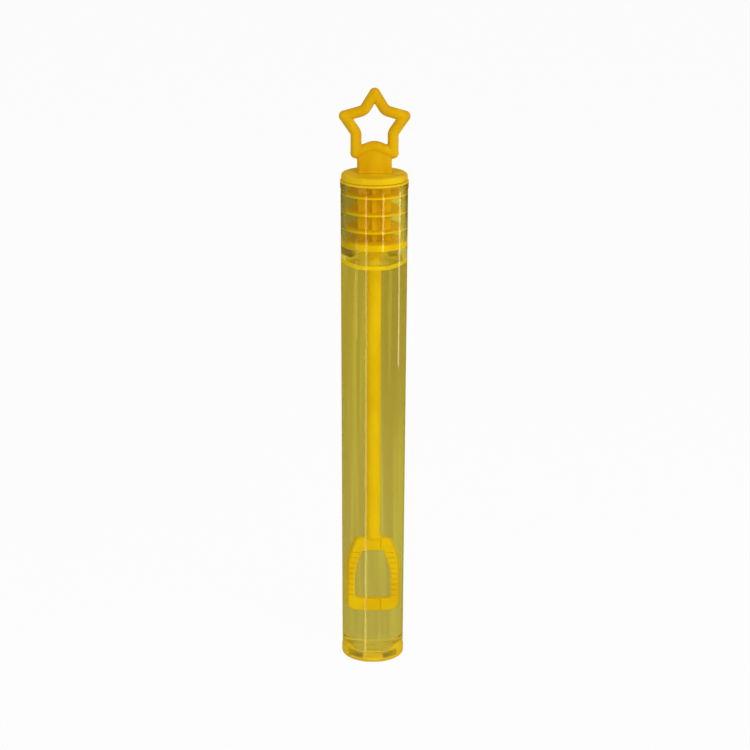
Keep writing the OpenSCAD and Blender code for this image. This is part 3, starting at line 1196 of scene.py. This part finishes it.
@dataclass
class FilmLoop:
    """Blowing loop: a bell-shaped ring with V-grooves on both faces."""

    finish: Finish
    side_bar: float = 1.15 * MM
    end_bar: float = 2.4 * MM
    soft_edge: float = 0.32 * MM
    soft_steps: int = 5
    sharp: float = math.radians(60)
    pitch: float = 1.05 * MM
    groove: Point = mm(0.26, 0.2)
    groove_run: float = 2.2
    groove_over: float = 0.05 * MM
    outline: tuple[Point, ...] = ((1, 0), (1, 0.68), (0.62, 1))
    outline_radii: Triple = (0.3, 4.5, 0.28)
    opening: tuple[Point, ...] = ((1, 0), (1, 0.58), (0.56, 1))
    opening_radii: Triple = (0.18, 5.4, 0.15)
    steps: int = 8

    def ring(self, shares: Sequence[Point], radii: Triple, half: float, bottom: float,
             height: float) -> list[Point]:
        """A rounded outline.

        Args:
            shares: Corners of its right side, as shares of its half width and its height.
            radii: Radius of each corner, as a share of its half width.
            half: Half its width.
            bottom: Height of its foot.
            height: Its own height.

        Returns:
            The outline.
        """
        right = [(x * half, bottom + z * height) for x, z in shares]
        points = right + [(-x, z) for x, z in reversed(right)]
        sizes = [r * half for r in radii]
        return rounded(points, sizes + sizes[::-1], self.steps)

    def build(self) -> None:
        """Bridges the two outlines, thickens and softens the ring, and cuts the grooves."""
        low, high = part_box("bubble_loop")
        half, tall = high.x, high.z - low.z
        outer = self.ring(self.outline, self.outline_radii, half, low.z, tall)
        inner = self.ring(self.opening, self.opening_radii, half - self.side_bar,
                          low.z + self.end_bar, tall - 2 * self.end_bar)
        ring = BENCH.blank("film_loop")
        for outline in (outer, inner):
            BENCH.trace([Vector((x, low.y, z)) for x, z in outline], closed=True)
        bpy.ops.mesh.select_all(action="SELECT")
        bpy.ops.mesh.bridge_edge_loops()
        bpy.ops.mesh.select_all(action="SELECT")
        bpy.ops.mesh.extrude_region_move(TRANSFORM_OT_translate={"value": (0, high.y - low.y, 0)})
        BENCH.close()
        BENCH.modify("BEVEL", width=self.soft_edge, segments=self.soft_steps,
                     limit_method="ANGLE", angle_limit=self.sharp)
        cutter = self.grooves(low, high)
        BENCH.take(ring)
        BENCH.carve(cutter)
        BENCH.finish(Body.WAND, ["bubble_loop"], self.finish)

    def grooves(self, low: Vector, high: Vector) -> bpy.types.Object:
        """Cutter for the grooves of both faces: across the side bars, and up the end bars.

        Args:
            low: Lower corner of the loop's box.
            high: Upper corner of the loop's box.

        Returns:
            The cutter.
        """
        tall = high.z - low.z
        cutter = BENCH.blank("groove_cutter")
        count = int((tall - 2 * self.end_bar) / self.pitch)
        first = (low.z + high.z) / 2 - (count - 1) / 2 * self.pitch
        for face in (-1, 1):
            y = face * high.y
            for i in range(count):
                self.wedge((0, y, first + i * self.pitch), (self.groove_run * high.x, 0, 0), face)
            for i in (-1, 1):
                for bar in (low.z + self.end_bar / 2, high.z - self.end_bar / 2):
                    self.wedge((i * self.pitch, y, bar),
                               (0, 0, self.end_bar + self.groove_over), face)
        BENCH.leave()
        return cutter

    def wedge(self, at: Triple, run: Triple, face: int) -> None:
        """Adds a three-sided bar with its edge sunk in a face of the loop.

        Args:
            at: Middle of the groove, on the face.
            run: The groove's length, along X or Z.
            face: -1 on the front face and 1 on the back.
        """
        width, depth = self.groove
        along = Vector(run)
        start = Vector(at) - along / 2
        side = along.normalized().cross(Vector((0, 1, 0))) * width
        out = Vector((0, face * depth, 0))
        BENCH.trace([start - out, start + side + out, start - side + out], closed=True)
        bpy.ops.mesh.select_linked()
        bpy.ops.mesh.edge_face_add()
        bpy.ops.mesh.extrude_region_move(TRANSFORM_OT_translate={"value": along})
        bpy.ops.mesh.select_linked()
        bpy.ops.mesh.normals_make_consistent(inside=False)


# The studio

STRIP_LIGHT: Colour = (1.0, 0.92, 0.75)


def direction(azimuth: float, elevation: float) -> Vector:
    """Unit vector from the object. Azimuth 0 is towards the camera and grows to its right."""
    a, e = math.radians(azimuth), math.radians(elevation)
    return Vector((math.sin(a) * math.cos(e), -math.cos(a) * math.cos(e), math.sin(e)))


@dataclass(frozen=True)
class Softbox:
    """A flat soft lamp that faces the object."""

    name: str
    azimuth: float
    elevation: float
    width: float
    height: float
    watts: float
    distance: float = 0.7
    aim: float = 0.055
    colour: Colour = (1, 1, 1)

    def build(self) -> None:
        """Hangs the lamp."""
        data = bpy.data.lights.new(self.name, "AREA")
        data.shape = "RECTANGLE"
        data.size, data.size_y, data.energy = self.width, self.height, self.watts
        data.color = self.colour
        lamp = bpy.data.objects.new(self.name, data)
        bpy.context.scene.collection.objects.link(lamp)
        target = Vector((0, 0, self.aim))
        lamp.location = target + direction(self.azimuth, self.elevation) * self.distance
        lamp.rotation_euler = (lamp.location - target).to_track_quat("Z", "Y").to_euler()
        lamp.visible_transmission = False


@dataclass(frozen=True)
class PhotoCamera:
    """The camera, where the photograph's was."""

    back: float = 0.379
    up: float = 0.1692
    pitch: float = 16.99
    roll: float = 0.22
    lens: float = 106.46
    shift: float = 0.0018
    sensor: float = 36
    clip: Point = (0.01, 20)

    def build(self) -> None:
        """Sets the camera up."""
        data = bpy.data.cameras.new("photo_camera")
        data.lens, data.sensor_width, data.shift_x = self.lens, self.sensor, self.shift
        data.clip_start, data.clip_end = self.clip
        camera = bpy.data.objects.new("photo_camera", data)
        bpy.context.scene.collection.objects.link(camera)
        camera.matrix_world = (Matrix.Translation((0, -self.back, self.up))
                               @ Matrix.Rotation(math.radians(90 - self.pitch), 4, "X")
                               @ Matrix.Rotation(math.radians(self.roll), 4, "Z"))
        bpy.context.scene.camera = camera


@dataclass
class Studio:
    """White sweep, soft light and the camera."""

    camera: PhotoCamera = PhotoCamera()
    ambient: float = 0.52
    gloss_colour: Colour = (0.85, 0.62, 0.08)
    floor_size: float = 8.0
    floor_drop: float = 0.02 * MM
    floor_white: Colour = (0.93, 0.93, 0.925)
    clean_share: float = 0.94
    lamps: tuple[Softbox, ...] = (
        Softbox("key_softbox", 34, 30, 0.4, 0.4, 2.2),
        Softbox("fill_softbox", -50, 10, 0.5, 0.5, 0.5),
        Softbox("strip_left", -27.5, -19, 0.085, 0.3, 0.6, colour=STRIP_LIGHT),
        Softbox("strip_right", 31, -10.3, 0.08, 0.05, 0.12, colour=STRIP_LIGHT),
        Softbox("strip_edge", 98, -12.8, 0.1, 0.1, 0.2, colour=STRIP_LIGHT),
        Softbox("strip_faint", -63, -13.8, 0.1, 0.05, 0.04, colour=STRIP_LIGHT),
    )

    def world(self) -> None:
        """White for the camera and through clear pieces, warm in gloss, else even light."""
        world = bpy.data.worlds.new("studio_world")
        world.use_nodes = True
        bpy.context.scene.world = world
        shader = Shader(world.node_tree)
        seen = shader.ray("Camera", "Transmission")
        gloss = shader.ray("Glossy") * (1 - shader.ray("Transmission"))
        shader.surface(shader.node("Background", inputs={
            "Color": shader.blend(gloss, (1, 1, 1), self.gloss_colour),
            "Strength": self.ambient + (1 - self.ambient) * seen}).outputs[0], world=True)

    def floor(self) -> None:
        """Pale floor, which keeps the object's shadow."""
        floor = BENCH.begin("studio_floor", bpy.ops.mesh.primitive_plane_add,
                            size=self.floor_size, location=(0, 0, -self.floor_drop))
        BENCH.leave()
        material = bpy.data.materials.new("pale_floor")
        material.use_nodes = True
        shader = Shader(material.node_tree)
        matt = shader.node("BsdfDiffuse", inputs={"Color": (*self.floor_white, 1)})
        white = shader.node("Emission", inputs={"Color": (1, 1, 1, 1), "Strength": 1.0})
        share = self.clean_share * shader.ray("Camera", "Transmission")
        shader.surface(shader.node("MixShader", inputs={
            0: share, 1: matt.outputs[0], 2: white.outputs[0]}).outputs[0])
        floor.data.materials.append(material)
        floor.visible_glossy = False

    def build(self) -> None:
        """Sets the studio up."""
        self.camera.build()
        self.world()
        self.floor()
        for lamp in self.lamps:
            lamp.build()
        bpy.context.scene.view_settings.view_transform = "Standard"


def main() -> None:
    """Builds the studio and the object's pieces, in order."""
    Studio().build()
    yellow = YellowMoulding()
    # Painted light: a brighter yellow for the stopper, stem and loop, for light the tube holds
    # back.
    painted_lit_yellow = YellowMoulding("painted_lit_yellow_plastic", deep=(0.8, 0.48, 0.005),
                             bright=(0.87, 0.56, 0.008))
    tube = ClearTube(TubePlastic())
    for part in (tube, Solution(SolutionLiquid(), MeniscusGlow(), tube), StarGrip(yellow),
                 Stopper(painted_lit_yellow, tube), DippingStem(painted_lit_yellow), FilmLoop(painted_lit_yellow)):
        part.build()


if __name__ == "__main__":
    main()
